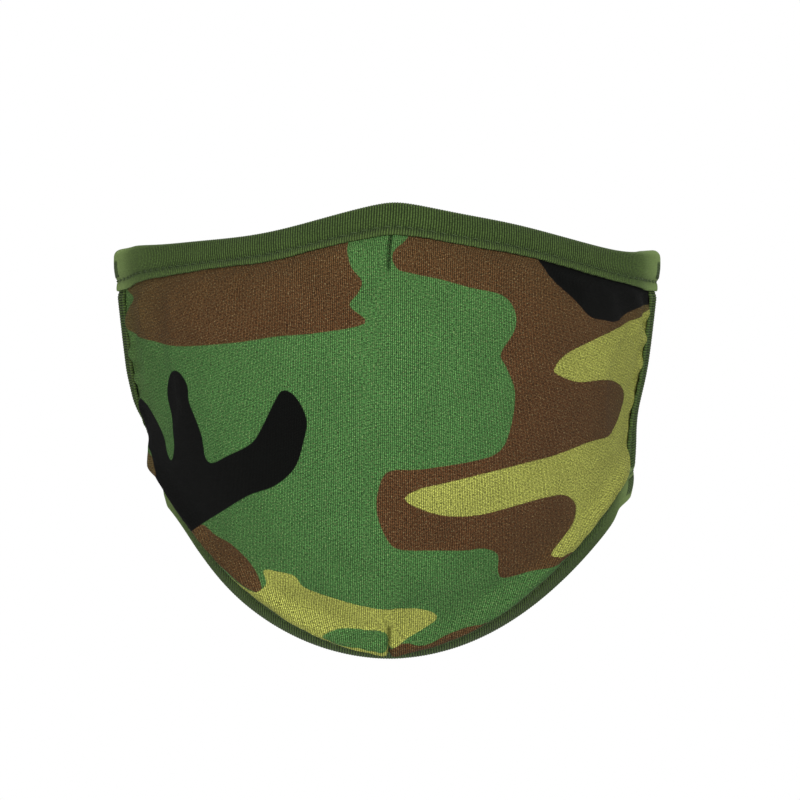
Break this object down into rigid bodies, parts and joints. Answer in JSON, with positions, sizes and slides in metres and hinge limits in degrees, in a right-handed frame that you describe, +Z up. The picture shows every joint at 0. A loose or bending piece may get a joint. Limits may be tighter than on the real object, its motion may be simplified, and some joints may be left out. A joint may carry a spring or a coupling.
{
  "type": "cloth face mask",
  "caption": "Fitted three-layer cloth face mask: a moulded knit cup with nose and chin darts, folded binding on every edge and two ear loops.",
  "frame": {"origin": "centre of the open back of the cup, midway between the two side edges, at mouth height", "axes": "+Z up; the front of the cup bulges towards -Y and the wearer's face enters from +Y; +X is the wearer's left"},
  "size_m": [0.1496, 0.1353, 0.1207],
  "materials": {
    "camo_jersey": "matte printed cotton jersey in a woodland camouflage pattern",
    "filter_fabric": "matte non-woven filter fabric",
    "lining_jersey": "matte plain jersey",
    "green_binding": "matte ribbed fold-over knit tape",
    "ear_loop_knit": "matte flat elastic knit",
    "thread": "satin polyester sewing thread"
  },
  "bodies": {
    "mask": {"outer_shell": "camo_jersey", "filter_layer": "filter_fabric", "inner_lining": "lining_jersey", "top_binding": "green_binding", "bottom_binding": "green_binding", "left_side_binding": "green_binding", "right_side_binding": "green_binding", "nose_dart_stitches": "thread", "chin_dart_stitches": "thread", "top_binding_stitches": "thread", "bottom_binding_stitches": "thread", "left_side_stitches": "thread", "right_side_stitches": "thread", "left_upper_bartack": "thread", "left_lower_bartack": "thread", "right_upper_bartack": "thread", "right_lower_bartack": "thread"},
    "left_ear_loop": {"left_ear_loop": "ear_loop_knit"},
    "right_ear_loop": {"right_ear_loop": "ear_loop_knit"}
  },
  "joints": [
    {"name": "left_ear_loop_swing", "type": "hinge", "parent": "mask", "child": "left_ear_loop", "pos_m": [0.06914, 0.0037, 0.00718], "axis": [0.121, 0.0019, 0.9927], "range_deg": [-100, 80]},
    {"name": "right_ear_loop_swing", "type": "hinge", "parent": "mask", "child": "right_ear_loop", "pos_m": [-0.06914, 0.0037, 0.00718], "axis": [0.121, -0.0019, -0.9927], "range_deg": [-100, 80]}
  ]
}
